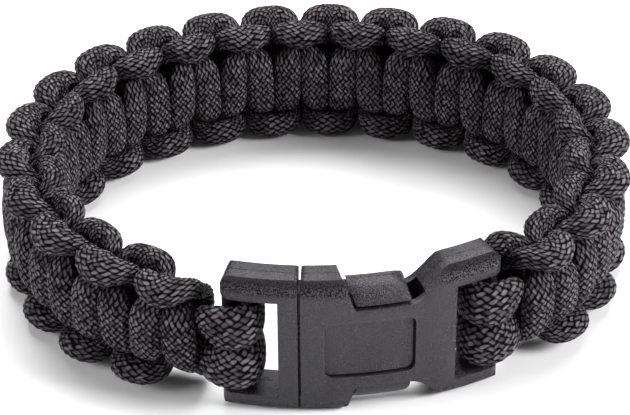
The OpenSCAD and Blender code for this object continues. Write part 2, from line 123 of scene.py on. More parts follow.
def on_ring(p):
    """Points (along, across, out) in mm to frame points in metres. On each arc the point sits at
    the arc's centre plus (radius + out) times the unit vector that turns by along / radius. The
    knots draw the band in next to the buckle, and its wrist's side is flatter."""
    past_bar = np.minimum(p[..., 0] - BAR_FEMALE, BAR_MALE_FAR - p[..., 0])
    drawn = smooth_step((past_bar - FREE_LEN) / (DRAWN_LEN - FREE_LEN))
    full = smooth_step((past_bar - DRAWN_LEN) / (PINCH_LEN - DRAWN_LEN))
    across = p[..., 1] * (1 - PINCH * (drawn - full))
    out = p[..., 2] * np.where(p[..., 2] < 0, 1 - (1 - INNER_SHARE) * drawn, 1)
    along = (p[..., 0] + RING_LEN / 2) % RING_LEN - RING_LEN / 2
    far, way = np.abs(along), np.sign(along)
    front = far < FRONT_LEN
    side = ~front & (far < FRONT_LEN + SIDE_LEN)
    turn = np.where(
        front,
        far / FRONT_R,
        np.where(
            side,
            FRONT_HALF + (far - FRONT_LEN) / SIDE_R,
            math.pi - FRONT_HALF + (far - FRONT_LEN - SIDE_LEN) / FRONT_R,
        ),
    )
    radius = np.where(side, SIDE_R, FRONT_R) + out
    centre_x = np.where(side, SIDE_CX, 0.0)
    centre_y = np.where(front, FRONT_CY, np.where(side, 0.0, -FRONT_CY))
    x = way * (centre_x + radius * np.sin(turn))
    y = centre_y - radius * np.cos(turn) - MIDDLE_Y
    return np.stack([x, y, across + MIDDLE_Z], -1) * MM


# %% [markdown]
# ## The camera
# The camera comes first, so that every part can be judged in the photograph's own frame. It
# looks down at about 35 degrees from in front of the buckle, with a longish lens. Its height,
# distance and lens were fitted to the outlines in the photo; a wider lens close by would show
# the buckle too large against the back of the ring.

# %% Camera
CAMERA_AIM = Vector((0.12, -0.33, 6.61)) * MM
CAMERA_ELEVATION, CAMERA_ROLL = math.radians(34.9), math.radians(-0.49)
CAMERA_DISTANCE, CAMERA_LENS = 0.3012, 135.8


def aimed(aim, elevation, distance, roll):
    """The matrix of a camera in front of aim, raised by elevation and turned by roll."""
    back = Vector((0, -math.cos(elevation), math.sin(elevation)))
    level, up = Vector((1, 0, 0)), Vector((0, math.sin(elevation), math.cos(elevation)))
    right = level * math.cos(roll) + up * math.sin(roll)
    axes = Matrix((right, back.cross(right), back)).transposed()
    return Matrix.Translation(aim + back * distance) @ axes.to_4x4()


camera = bpy.data.objects.new("camera", bpy.data.cameras.new("camera"))
bpy.context.scene.collection.objects.link(camera)
camera.data.lens = CAMERA_LENS
camera.data.clip_start = 0.01
camera.matrix_world = aimed(CAMERA_AIM, CAMERA_ELEVATION, CAMERA_DISTANCE, CAMERA_ROLL)
bpy.context.scene.camera = camera
print("camera", CAMERA_LENS, "mm at", round(CAMERA_DISTANCE, 3), "m")

# %% [markdown]
# ## One quarter of the knot
# Every crossing and turn of the two working cords is the same quarter, mirrored and repeated. Its
# rows run from the middle of a crossing strand to the middle of the turn it goes into, in knot
# units, of which one is the spacing of the crossings. wide and thick are the half sizes of the
# flattened cord.

# %% Knot table
QUARTER = np.array([
    # along, across,   out,  wide, thick
    [0.00, 0.00, 0.75, 0.48, 0.36],  # middle of the crossing strand
    [-0.02, 0.66, 0.76, 0.475, 0.35],  # still at its full width
    [-0.08, 1.00, 0.64, 0.42, 0.27],  # over the core's edge
    [-0.22, 1.16, 0.36, 0.25, 0.23],  # dives under the other cord's turn
    [-0.28, 1.36, 0.08, 0.19, 0.26],  # through the loop, pressed flat
    [-0.27, 1.74, -0.26, 0.21, 0.32],  # out at the back
    [0.06, 1.89, -0.63, 0.43, 0.40],  # swings into the turn
    [0.50, 1.81, -0.69, 0.60, 0.44],  # middle of the turn
])
TURN = len(QUARTER) - 1


def unit(v):
    """Vectors along the last axis, scaled to length one."""
    return v / np.linalg.norm(v, axis=-1, keepdims=True)


def knot_stations(side, first, stop):
    """Stations of all crossings as rows (along, across, out, wide, thick, facing x 3), from row
    first of the first crossing to row stop of the last. Row k of crossing i is the quarter's row
    abs(k), mirrored by k's sign and by the side the cord is on."""
    i = np.arange(LAST + 1)[:, None]
    k = np.arange(-TURN, TURN)[None, :]
    r = QUARTER[np.abs(k)]
    up = np.where(i % 2 == 1, 1, -1) * side
    along = i + np.sign(k) * r[..., 0]
    across = np.sign(k) * up * r[..., 1]
    out = side * r[..., 2] + 0 * along
    facing = unit(np.stack([0 * along, across, out], -1))
    wide, thick = r[..., 3] + 0 * along, r[..., 4] + 0 * along
    rows = np.concatenate([np.stack([along, across, out, wide, thick], -1), facing], -1)
    rows = rows.reshape(-1, rows.shape[-1])
    return rows[TURN + first : 2 * TURN * LAST + TURN + stop + 1]


# %% [markdown]
# ## Leads and ends
# Between the female bar and its first knot each working cord runs behind the core's loops.
# Its other end is cut, melted and tucked behind the last knot. These few places aren't part of
# the repeat, so their rows are listed one by one: a table is easy to change, where a sculpted end
# would have to be made again. The melted stub is three rows that shrink.

# %% Leads
LEAD_OUTER = np.array([
    # along, across,   out,  wide, thick,      facing
    [0.20, 0.36, -1.02, 0.46, 0.34, 0, 0, -1],
    [0.40, 0.58, -1.02, 0.40, 0.34, 0, 0.3, -0.9],
    [0.62, 0.76, -0.98, 0.36, 0.35, 0, 0.8, -0.6],
])
LEAD_INNER = np.array([
    # along, across,   out,  wide, thick,      facing
    [0.25, -0.36, -1.03, 0.46, 0.33, 0, 0, -1],
    [0.55, -0.42, -1.06, 0.44, 0.34, 0, 0, -1],
    [0.82, -0.42, -1.08, 0.45, 0.35, 0, 0, -1],
])
CUT_BACK, JOINT_GAP = 0.9, 0.15  # mm from the bar's middle to the core's ends, and the joint
START = np.array([
    # before, wide
    [1.00, 1.00],
    [0.13, 0.80],
])
TIP = np.array([
    # on, size
    [0.25, 0.85],
    [0.45, 0.55],
    [0.50, 0.15],
])


def lead_stations(lead):
    """Rows of a lead: shares of the stretch from the bar, the band's half width and the level."""
    rows = lead.copy()
    rows[:, 0] = (lead[:, 0] - 1) * KNOT_LEAD / SPACING
    rows[:, 1] *= KNOT_HALF_W
    rows[:, 2] *= LOOP_LEVEL / UNIT_T
    rows[:, 5:] = unit(lead[:, 5:])
    return rows


# %% Ends and the whole working cord
def start_stations(side):
    """Behind the female bar, face to face with the core's end. before is a share of the way from
    the bar's middle back to that end, and wide is a share of the loop's width."""
    before, wide = START.T
    one = np.ones_like(before)
    along = (before * (JOINT_GAP - CUT_BACK) - KNOT_LEAD) / SPACING
    across = side * LOOP_LANE / UNIT_W * one
    out = -LOOP_LEVEL / UNIT_T * one
    half_w = wide * LOOP_W / 2 / UNIT_W
    half_t = LOOP_T / 2 / UNIT_T * one
    return np.stack([along, across, out, half_w, half_t, 0 * one, 0 * one, -one], -1)


def tip_stations(end, towards):
    """The melted stub: each row goes a little further towards the next station and is smaller."""
    on, size = TIP[:, :1], TIP[:, 1:]
    rows = end + (towards - end) * on
    rows[:, 3:5] = end[3:5] * size
    return rows


def working_cord(side, lead, first, stop):
    """Stations of one working cord from its joint to its melted tip."""
    knots = knot_stations(side, first, stop + 1)
    return np.concatenate([
        start_stations(side), lead_stations(lead), knots[:-1], tip_stations(knots[-2], knots[-1]),
    ])


OUTER_FIRST, OUTER_STOP = 1 - TURN, 4
INNER_FIRST, INNER_STOP = -1, 3
outer_rows = working_cord(1, LEAD_OUTER, OUTER_FIRST, OUTER_STOP)
inner_rows = working_cord(-1, LEAD_INNER, INNER_FIRST, INNER_STOP)
print("stations of the working cords:", len(outer_rows), len(inner_rows))

# %% [markdown]
# ## The core
# The core is one cord laid double. It is looped round both bars, with a bight behind the male
# bar and its two ends behind the female bar, so its stations are half a course and its mirror
# image. These stations are in millimetres.

# %% Core tables
CORE_LANE, CORE_HALF_W, CORE_HALF_T = 0.435, 0.41, 0.343  # inside the knots, in knot units
CORE_MARKS = 44  # steps along the knotted stretch
LOOP = np.array([
    # from, level, lane, broad, deep, turned
    [-0.80, -1.00, 1.00, 1.00, 1.00, -105],
    [-1.07, 0.00, 1.00, 1.00, 1.00, -180],
    [-0.85, 0.95, 1.00, 1.00, 1.00, -250],
    [0.12, 1.05, 0.99, 1.00, 1.00, -270],
    [0.64, 0.85, 0.91, 0.90, 0.92, -270],
    [1.05, 0.42, 0.71, 0.67, 0.84, -270],
    [1.40, 0.08, 0.58, 0.54, 0.86, -270],
    [1.75, 0.00, 0.57, 0.54, 0.98, -270],
])
BIGHT = np.array([
    # from, level, lane, broad, deep, turned
    [-0.38, -1.03, 0.92, 0.80, 1.00, -90],
    [0.12, -1.05, 0.56, 0.60, 1.05, -90],
    [0.25, -1.05, 0.00, 0.56, 1.05, -90],
])


# %% Core stations
def loop_stations(table, bar, way, spin):
    """Rows round a bar: from is a share of the loop's reach towards the knots, level, lane, broad
    and deep are shares of the loop's own, and turned is where it faces, in degrees."""
    past, level, lane, broad, deep, turned = table.T
    face = np.radians(way * turned + spin)
    return np.stack([
        bar + way * past * LOOP_REACH, lane * LOOP_LANE, level * LOOP_LEVEL,
        broad * LOOP_W / 2, deep * LOOP_T / 2, np.cos(face), 0 * face, np.sin(face),
    ], -1)


def core_stations():
    """Both strands of the core, from one end behind the female bar round to the other."""
    cut_at = BAR_FEMALE - CUT_BACK
    cut = np.array([[cut_at, LOOP_LANE, -LOOP_LEVEL, LOOP_W / 2, LOOP_T / 2, 0, 0, -1]])
    mark = np.linspace(FIRST_AT + SPACING / 2, FIRST_AT + (LAST - 0.5) * SPACING, CORE_MARKS + 1)
    one = np.ones_like(mark)
    straight = np.stack([
        mark, CORE_LANE * UNIT_W * one, 0 * one, CORE_HALF_W * UNIT_W * one,
        CORE_HALF_T * UNIT_T * one, 0 * one, 0 * one, one,
    ], -1)
    over_female = loop_stations(LOOP, BAR_FEMALE, 1, 0)
    over_male = loop_stations(LOOP[::-1], BAR_MALE_FAR, -1, 180)
    bight = loop_stations(BIGHT, BAR_MALE_FAR, -1, 180)
    half = np.concatenate([cut, over_female, straight, over_male, bight])
    other = half[::-1][1:] * np.array([1, -1, 1, 1, 1, 1, 1, 1])
    return np.concatenate([half, other])


core_rows = core_stations()
print("stations of the core:", len(core_rows))

# %% [markdown]
# ## From stations to a woven skin
# A cubic B-spline runs smoothly past the stations, and rings are set along it at even lengths of
# cord. The sheath is braided from two families of yarn, which take turns at the top, so the
# surface is a checkerboard of small crowns set on its corner: one column of crowns beside the next,
# half a grain further on. The mesh has one point per column and two rings per grain, so that it
# meets every crown and every valley, and the grains show in the outline too. A displacement
# texture would need many more faces for the same relief.

# %% Spline
def spline(rows, u):
    """Values and headings of a uniform cubic B-spline at u, which counts stations. The rows run
    on straight past both ends, so that the spline starts and stops at the first and last."""
    row = np.concatenate([[2 * rows[0] - rows[1]], rows, [2 * rows[-1] - rows[-2]]])
    k = np.minimum((u + 1).astype(int), len(row) - 3)
    t = (u + 1 - k)[:, None]
    before, here, ahead, beyond = row[k - 1], row[k], row[k + 1], row[k + 2]
    value = (
        (1 - t) ** 3 * before
        + (3 * t**3 - 6 * t**2 + 4) * here
        + (1 + 3 * t + 3 * t**2 - 3 * t**3) * ahead
        + t**3 * beyond
    ) / 6
    slope = (
        -((1 - t) ** 2) * before
        + (3 * t**2 - 4 * t) * here
        + (1 + 2 * t - 3 * t**2) * ahead
        + t**2 * beyond
    )
    return value, unit(slope[:, :3])


# %% Rings at even steps
GRAIN_LEN = 0.96  # length of one grain of the sheath, along the cord
RINGS_PER_GRAIN = 2
FINE_STEPS = 40  # per station, for measuring the cord


def even_rings(rows, units):
    """Places u along the rows where rings stand at even steps of real length, and the length."""
    fine = np.linspace(0, len(rows) - 1, FINE_STEPS * len(rows))
    middle = on_ring(spline(rows, fine)[0][:, :3] * units) / MM
    run = np.concatenate([[0], np.cumsum(np.linalg.norm(np.diff(middle, axis=0), axis=1))])
    count = int(run[-1] / (GRAIN_LEN / RINGS_PER_GRAIN))
    return np.interp(np.linspace(0, run[-1], count + 1), run, fine), run[-1]


# %% Sections of the cord
COLUMNS = 28  # columns of grains round the cord
FULLNESS = 2.3  # 2 is an ellipse, more is a fuller section
RATIOS = np.linspace(0.25, 2.0, 36)  # of a section's depth to its breadth
HALF_DEGREES = np.linspace(0, 2 * np.pi, 721)


def grain_height(column, grain):
    """Height from 0 in the valleys to 1 on the crowns. It is how far the sum of the distances to
    the nearest crown, counted in columns and in half grains, is from one."""
    sideways = np.abs((column + 0.5) % 2 - 1)
    lengthways = np.abs(grain % 1 - 0.5)
    return np.abs(1 - sideways - 2 * lengthways)


def superellipse(angle, broad, deep):
    """Points (across, through) of a superellipse of these half sizes: the cosine and the sine,
    each to the power 2 / FULLNESS with its sign kept."""
    cos, sin = np.cos(angle), np.sin(angle)
    across = broad * np.sign(cos) * np.abs(cos) ** (2 / FULLNESS)
    through = deep * np.sign(sin) * np.abs(sin) ** (2 / FULLNESS)
    return across, through


def even_angles(ratio):
    """Angles for COLUMNS points at equal steps round superellipses of these depth to breadth
    ratios. They are worked out for a few ratios, as the angles at which the summed length is
    even, and interpolated between them."""
    table = []
    for shape in RATIOS:
        x, y = superellipse(HALF_DEGREES, 1.0, shape)
        run = np.concatenate([[0], np.cumsum(np.hypot(np.diff(x), np.diff(y)))])
        table.append(np.interp(run[-1] * np.arange(COLUMNS) / COLUMNS, run, HALF_DEGREES))
    table = np.array(table)
    place = (np.clip(ratio, RATIOS[0], RATIOS[-1]) - RATIOS[0]) / (RATIOS[1] - RATIOS[0])
    low = np.minimum(place.astype(int), len(RATIOS) - 2)
    part = (place - low)[:, None]
    return table[low] * (1 - part) + table[low + 1] * part


# %% Cord skin
FULLER_W, FULLER_T = 0.16, 0.10  # mm on the solid's half sizes, as soft cord fills its gaps
RELIEF = 0.12  # mm from the crowns of the grains down to their valleys


def cord_skin(rows, units, origin):
    """Grid of points of a cord: at each ring a superellipse, wide along v and thick along w,
    square to the cord's heading, less the relief of the woven grains."""
    u, length = even_rings(rows, units)
    value, heading = spline(rows, u)
    v = unit(np.cross(heading, value[:, 5:8]))
    w = np.cross(v, heading)
    v_size, w_size = np.linalg.norm(v * units, axis=1), np.linalg.norm(w * units, axis=1)
    wide, thick = value[:, 3] + FULLER_W / v_size, value[:, 4] + FULLER_T / w_size
    angles = even_angles(thick * w_size / (wide * v_size))
    across, through = superellipse(angles, wide[:, None], thick[:, None])
    ring = across[..., None] * v[:, None] + through[..., None] * w[:, None]
    grain = np.arange(len(u)) / RINGS_PER_GRAIN
    column = np.arange(COLUMNS) + 0.5
    height = grain_height(column[None, :], grain[:, None])
    radial = ring * units
    size = np.linalg.norm(radial, axis=-1, keepdims=True)
    radial = radial * (1 - RELIEF * (1 - height[..., None]) / size)
    points = on_ring(value[:, None, :3] * units + radial + np.array([origin, 0, 0]))
    print(f"cord {length:.0f} mm long, {len(u)} rings, {2 * len(u) * COLUMNS} triangles")
    return points, grain


def closed_tube(name, points, grain):
    """Mesh of a grid of rings, closed round and at both ends, with a UV map that counts columns
    of grains round the cord and grains along it."""
    rings, sides = points.shape[:2]
    index = np.arange(rings * sides).reshape(rings, sides)
    after = np.roll(index, -1, 1)
    quads = np.stack([index[:-1], after[:-1], after[1:], index[1:]], -1).reshape(-1, 4)
    caps = [index[0][::-1].tolist(), index[-1].tolist()]
    mesh = bpy.data.meshes.new(name)
    mesh.from_pydata(points.reshape(-1, 3), [], quads.tolist() + caps)
    left = np.broadcast_to(np.arange(sides) + 0.5, (rings - 1, sides))
    low = np.broadcast_to(grain[:-1, None], (rings - 1, sides))
    high = np.broadcast_to(grain[1:, None], (rings - 1, sides))
    right = left + 1
    corners = np.stack([left, low, right, low, right, high, left, high], -1).reshape(-1)
    flat = np.zeros(2 * sides * 2)
    mesh.uv_layers.new(name="sheath").data.foreach_set("uv", np.concatenate([corners, flat]))
    mesh.polygons.foreach_set("use_smooth", np.ones(len(mesh.polygons), bool))
    mesh.update()
    made = bpy.data.objects.new(name, mesh)
    bpy.context.scene.collection.objects.link(made)
    return made


# %% [markdown]
# ## The three cords
# One function makes all three, from a cord's stations and the millimetres that its units stand
# for. Each cord takes the place of its faceted solid, which is hidden but still there for
# collisions. A cord is one closed mesh, as its solid is.

# %% Working cords and core
CORDS = {
    "outer_working_cord": ("knot_cord_outer", outer_rows, KNOT_UNITS, FIRST_AT),
    "inner_working_cord": ("knot_cord_inner", inner_rows, KNOT_UNITS, FIRST_AT),
    "doubled_core": ("core_cord", core_rows, np.ones(3), 0.0),
}
cords = {}
for cord_name, (node, rows, units, origin) in CORDS.items():
    skin, grain = cord_skin(rows, units, origin)
    cords[cord_name] = closed_tube(cord_name, skin, grain)
    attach(cords[cord_name], "root")
    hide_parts(node)

# %% [markdown]
# ## Shader maths as Python
# Both finishes are long chains of nodes, which are hard to read in the node editor and harder as
# calls. So one small class wraps a socket: its operators add Math nodes, and its methods add the
# others. A formula for a finish then reads like any other formula.

# %% Shader values
# Outputs by number: Object of Texture Coordinate, Color of the noises, Value of Vector Math, and
# the colour that a Mix node gives. A Mix node's colours are its inputs 6 and 7.
OBJECT, COLOUR, VALUE, MIXED = 3, 1, 1, 2


class Shade:
    """A socket in one material's node tree, with Python's operators as Math nodes."""

    def __init__(self, tree, socket):
        self.tree, self.socket = tree, socket

    def node(self, kind, settings=None, out=0, **inputs):
        """A node of this kind, its settings made first, then its inputs: numbers, colours or
        other values. Input names have _ for a space, and i followed by a number is an index."""
        made = self.tree.nodes.new(kind)
        for key, value in (settings or {}).items():
            setattr(made, key, value)
        for key, value in inputs.items():
            place = int(key[1:]) if key[0] == "i" and key[1:].isdigit() else key.replace("_", " ")
            target = made.inputs[place]
            if isinstance(value, Shade):
                self.tree.links.new(value.socket, target)
            else:
                target.default_value = value
        return Shade(self.tree, made.outputs[out])

    def sibling(self, out):
        """Another output of this value's node."""
        return Shade(self.tree, self.socket.node.outputs[out])

    def math(self, operation, *others):
        """A Math node of this value and others."""
        inputs = {f"i{n}": value for n, value in enumerate((self, *others))}
        return self.node("ShaderNodeMath", {"operation": operation}, **inputs)

    def vector(self, operation, *values, out=0):
        """A Vector Math node of these values."""
        inputs = {f"i{n}": value for n, value in enumerate(values)}
        return self.node("ShaderNodeVectorMath", {"operation": operation}, out=out, **inputs)

    def noise(self, spot, scale, detail, out=0):
        """A Noise Texture at a spot. Its grains are about one over scale wide."""
        return self.node("ShaderNodeTexNoise", out=out, Vector=spot, Scale=scale, Detail=detail)

    def __add__(self, other):
        return self.math("ADD", other)

    def __sub__(self, other):
        return self.math("SUBTRACT", other)

    def __rsub__(self, other):
        return self.node("ShaderNodeMath", {"operation": "SUBTRACT"}, i0=other, i1=self)

    def __mul__(self, other):
        return self.math("MULTIPLY", other)

    def __truediv__(self, other):
        return self.math("DIVIDE", other)

    def __mod__(self, other):
        return self.math("FLOORED_MODULO", other)

    def __pow__(self, other):
        return self.math("POWER", other)

    __radd__, __rmul__ = __add__, __mul__

    def smooth(self, low, high):
        """0 below low, 1 above high and a smooth step between them."""
        settings = {"interpolation_type": "SMOOTHSTEP"}
        return self.node("ShaderNodeMapRange", settings, Value=self, From_Min=low, From_Max=high)

    def between(self, low, high):
        """low where this value is 0, high where it is 1, and in a straight line on."""
        return self * (high - low) + low

    def blend(self, dark, light):
        """A colour mixed from two by this value."""
        settings = {"data_type": "RGBA"}
        colours = {"i6": (*dark, 1), "i7": (*light, 1)}
        return self.node("ShaderNodeMix", settings, out=MIXED, i0=self, **colours)


def new_material(name, **constants):
    """A material, its shader and a value to start expressions from. The constants are set on the
    shader's own sockets."""
    material = bpy.data.materials.new(name)
    material.use_nodes = True
    tree = material.node_tree
    shader = tree.nodes["Principled BSDF"]
    for key, value in constants.items():
        shader.inputs[key.replace("_", " ")].default_value = value
    return material, shader, Shade(tree, None)


def feed(shader, **values):
    """Links values to the shader's sockets."""
    for key, value in values.items():
        value.tree.links.new(value.socket, shader.inputs[key.replace("_", " ")])


# %% [markdown]
# ## The woven nylon sheath
# The sheath is black nylon yarn, braided from two families that lean to either side and take
# turns on top. A yarn on top is a long block with a round back. It overruns its square of the
# checkerboard and dives at its ends, and the higher of the two families is the one that shows, so
# the blocks interlock. The first family is painted lighter than the second, a painted sheen where
# its yarns catch the light. No two blocks are equally bright, and the gaps between them are
# painted nearly black, as painted shade. The UV map counts columns and grains, so all of it is
# worked out from those two numbers and follows the cord wherever it goes. An image of a weave would
# repeat, and would smear where the cord is squeezed.

# %% One family of yarn
BLOCK_HALF_W, BLOCK_HALF_L = 0.90, 1.34  # of a yarn on top; 1 would just fill the checkerboard
BLOCK_BACK, BLOCK_DIVE = 2.2, 2.6  # the powers that round a block across and along
ASKEW = 0.5  # width in columns of the range in which a block's place is drawn


def yarn_family(start, column, grain, lean):
    """Height and lot of the nearest place where a yarn of one family is on top. Its centres are
    two columns and one grain apart. across and along are measured on the yarn, which leans to one
    side or the other. The height is 1 less a power of across, times 1 less a power of along, so a
    block has a round back and dives at its ends. Every block is a little askew and has a lot, a
    random number, of its own."""
    sideways, lengthways = (column % 2.0) - 1.0, ((grain % 1.0) - 0.5) * 2.0
    cell = start.node(
        "ShaderNodeCombineXYZ", X=(column / 2.0).math("FLOOR"), Y=grain.math("FLOOR"), Z=lean,
    )
    lot = start.node("ShaderNodeTexWhiteNoise", {"noise_dimensions": "3D"}, Vector=cell)
    shift = start.node("ShaderNodeSeparateXYZ", Vector=lot.sibling(COLOUR))
    across = sideways - lengthways * lean + (shift - 0.5) * ASKEW
    along = sideways + lengthways * lean + (shift.sibling(1) - 0.5) * ASKEW
    back = 1.0 - (across.math("ABSOLUTE") / BLOCK_HALF_W) ** BLOCK_BACK
    dive = 1.0 - (along.math("ABSOLUTE") / BLOCK_HALF_L) ** BLOCK_DIVE
    return back.math("MAXIMUM", 0.0) * dive.math("MAXIMUM", 0.0), lot, across


# %% Sheath material
WANDER_SCALE, PATCH_SCALE, LINT_SCALE = 900.0, 260.0, 3200.0  # of its three noises, per metre
WANDER = (0.75, 0.50, 0.0)  # how far a yarn may wander, in columns and grains
FILAMENTS = 7.0  # side by side on a yarn two columns wide
YARN_DEPTH = 0.30 * MM
FILAMENT_DEPTH, LINT_DEPTH = 0.05, 0.10  # as shares of YARN_DEPTH
# The gaps' colour here is painted shade, and the yarn's grey is the colour of the crowns.
GAP_PAINTED_SHADE, YARN_GREY = (0.0003, 0.0002, 0.0003), (0.160, 0.144, 0.159)
CROWN_SHOWS = 0.28, 0.96  # height of a block where its grey starts, and where it is full
# Shares of the grey, each as what it is where its value is 0 and where it is 1. The value of the
# family is 0 for the first and 1 for the second, and the filaments' goes from -1 to 1.
# The family's share is a painted sheen: the first family is painted lighter than the second.
FAMILY_SHEEN_SHARE, LOT_SHARE, PATCH_SHARE = (1.0, 0.70), (0.36, 1.14), (0.55, 1.35)
LINT_SHARE, FILAMENT_SHARE = (0.45, 1.55), (1.0, 1.12)
BLOCK_ROUGH, LINT_ROUGH = (0.62, 0.38), 0.10  # from a block's foot to its crown, and more for lint


def woven_sheath():
    """Black woven nylon on the cord's own UV map. The second family's centres lie one column and
    half a grain from the first's, and the higher of the two families is the one that shows. The
    colour goes from the gaps' painted shade to the yarn's grey with the product of four shares: how
    high the block stands, which paints shade at its foot, its family's painted sheen and its lot, its
    patch, and its lint and filaments."""
    material, shader, start = new_material("woven_black_nylon", Specular_IOR_Level=0.05)
    place = start.node("ShaderNodeUVMap", {"uv_map": "sheath"})
    spot = start.node("ShaderNodeTexCoord", out=OBJECT)
    uneven = start.noise(spot, WANDER_SCALE, 1.0, out=COLOUR)
    shifted = place.vector("MULTIPLY_ADD", uneven, WANDER, place)
    column = place.node("ShaderNodeSeparateXYZ", Vector=shifted)
    grain = column.sibling(1)
    first_top, first_lot, first_across = yarn_family(start, column + 0.5, grain, 1.0)
    second_top, second_lot, second_across = yarn_family(start, column - 0.5, grain + 0.5, -1.0)
    second = second_top.math("GREATER_THAN", first_top)
    crown = first_top.math("MAXIMUM", second_top)
    lot = first_lot + (second_lot - first_lot) * second
    across = first_across + (second_across - first_across) * second
    filaments = (across * (FILAMENTS * math.pi)).math("SINE")
    patch = start.noise(spot, PATCH_SCALE, 3.0)
    lint = start.noise(spot, LINT_SCALE, 2.0)
    height = crown + filaments * FILAMENT_DEPTH + lint * LINT_DEPTH
    painted_sheen_and_lot = second.between(*FAMILY_SHEEN_SHARE) * lot.between(*LOT_SHARE)
    fuzz = lint.between(*LINT_SHARE) * filaments.between(*FILAMENT_SHARE)
    # The crown's share paints shade at the foot of each block, down to the gaps.
    tone = crown.smooth(*CROWN_SHOWS) * painted_sheen_and_lot * patch.between(*PATCH_SHARE) * fuzz
    feed(
        shader,
        Base_Color=tone.blend(GAP_PAINTED_SHADE, YARN_GREY),
        Roughness=crown.between(*BLOCK_ROUGH) + lint * LINT_ROUGH,
        Normal=start.node("ShaderNodeBump", Height=height, Distance=YARN_DEPTH, Strength=1.0),
    )
    return material


sheath = woven_sheath()
for piece in cords.values():
    piece.data.materials.append(sheath)
print("sheath:", len(sheath.node_tree.nodes), "nodes on", len(cords), "cords")

# %% [markdown]
# ## The buckle
# The two halves are moulded in black acetal, a tough and slippery plastic. The solid model already
# has their true shape, but its edges are mathematically sharp, and a moulded edge always catches a
# thin line of light. So each half is a copy of its node, with the loose triangles merged, flat
# faces joined and a small bevel on the sharp edges only.

# %% Buckle halves
EDGE_ROUND = 0.16 * MM
MERGE_WITHIN = 0.001 * MM
FLAT_WITHIN = math.radians(1.0)
SHARP_OVER = math.radians(28)


def merged_mesh(node):
    """A copy of a node's mesh with its triangles merged into flat faces."""
    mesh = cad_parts[node].data.copy()
    work = bmesh.new()
    work.from_mesh(mesh)
    bmesh.ops.remove_doubles(work, verts=work.verts, dist=MERGE_WITHIN)
    bmesh.ops.dissolve_limit(work, angle_limit=FLAT_WITHIN, verts=work.verts, edges=work.edges)
    bmesh.ops.recalc_face_normals(work, faces=work.faces)
    work.to_mesh(mesh)
    work.free()
    mesh.materials.clear()
    mesh.polygons.foreach_set("use_smooth", np.ones(len(mesh.polygons), bool))
    return mesh


def moulded_copy(node, name):
    """A piece in the place of a node, with its sharp edges rounded."""
    mesh = merged_mesh(node)
    made = bpy.data.objects.new(name, mesh)
    bpy.context.scene.collection.objects.link(made)
    bevel = made.modifiers.new("rounded_edges", "BEVEL")
    bevel.width = EDGE_ROUND
    bevel.segments = 2
    bevel.limit_method = "ANGLE"
    bevel.angle_limit = SHARP_OVER
    bevel.harden_normals = True
    bevel.miter_outer = "MITER_ARC"
    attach(made, "root")
    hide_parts(node)
    print(name, len(mesh.vertices), "vertices", len(mesh.polygons), "faces")
    return made


HALVES = {"buckle_frame_and_tabs": "buckle_male", "buckle_socket": "buckle_female"}
buckle_halves = [moulded_copy(node, name) for name, node in HALVES.items()]

# %% [markdown]
# ## Moulded acetal
# The plastic is black, and looks dark grey where the lights and the pale floor shine in it. It has
# the fine stipple of the mould and the thin line where the mould's halves met. Between the bright
# top and the face its rolled edges are painted dark, a painted reflection, with painted glints as
# glossy specks. The sunk panel has a painted highlight as a fine bright rim, and painted shade as a
# dark foot below and to the right. Reflections and shade make such tones in a photograph, and they
# change with everything that stands round the camera. Here the material works them out from the
# place on the buckle and paints them, so that they stay where they are in the photo.

# %% Places on the buckle
AXIS_Y = (FRONT_CY - MIDDLE_Y) * MM  # of the front arc
PARTING_IN, PARTING_W = 0.5, 0.14  # mm in from the middle of the buckle's thickness, and wide
PARTING_R = (FRONT_R - PARTING_IN) * MM
PARTING_EDGE = 0.4 * PARTING_W / 2 * MM, PARTING_W / 2 * MM  # off the line's middle: still full, gone
PANEL_FROM, PANEL_LEN, PANEL_H, PANEL_CORNER = 2.3, 10.7, 7.8, 1.0  # mm; from the seam, and sizes
PANEL_TURN = (SEAM_AT + SEAM_GAP / 2 + PANEL_FROM + PANEL_LEN / 2) / FRONT_R
PANEL_SHADE, PANEL_RIM, SOFT = 0.33 * MM, 0.13 * MM, 0.05 * MM  # painted shade at the foot, painted highlight on the rim, their blur
ROLL_R = (FRONT_R + BUCKLE_T / 2 - EDGE_R) * MM  # where the long outer edges start to round
ROLL_BELOW = 1.8, 1.0, 0.1  # mm below the buckle's edge: the roll starts, is full, is barest
ROLL_FROM, ROLL_FULL, ROLL_END = [(BUCKLE_H / 2 - below) * MM for below in ROLL_BELOW]


def buckle_place(spot):
    """Of a spot in Object coordinates: its distance from the front arc's axis, and how far it
    lies right and up of the panel's middle, on a plane that touches the arc there."""
    flat = spot.vector("MULTIPLY", spot, (1.0, 1.0, 0.0))
    radius = flat.vector("DISTANCE", flat, (0.0, AXIS_Y, 0.0), out=VALUE)
    heading = (math.cos(PANEL_TURN), math.sin(PANEL_TURN), 0.0)
    right = spot.vector("DOT_PRODUCT", spot, heading, out=VALUE) - AXIS_Y * math.sin(PANEL_TURN)
    up = spot.node("ShaderNodeSeparateXYZ", Vector=spot).sibling(2) - MIDDLE_Z * MM
    return radius, right, up


def past_panel(right, up):
    """Distance past the panel's outline, a rectangle with round corners, of a point that lies
    right and up of its middle: the length of what it is past the corners' centres, less their
    radius."""
    centre_x, centre_y = (PANEL_LEN / 2 - PANEL_CORNER) * MM, (PANEL_H / 2 - PANEL_CORNER) * MM
    past_x = (right.math("ABSOLUTE") - centre_x).math("MAXIMUM", 0.0)
    past_y = (up.math("ABSOLUTE") - centre_y).math("MAXIMUM", 0.0)
    return (past_x * past_x + past_y * past_y) ** 0.5 - PANEL_CORNER * MM


# %% Painted highlights and shade on the face
GLINT_TOPS = 0.43, 0.56  # of the stipple: a painted glint starts, is full
BAREST = 0.25  # share of the painted glints that is left at the buckle's edge


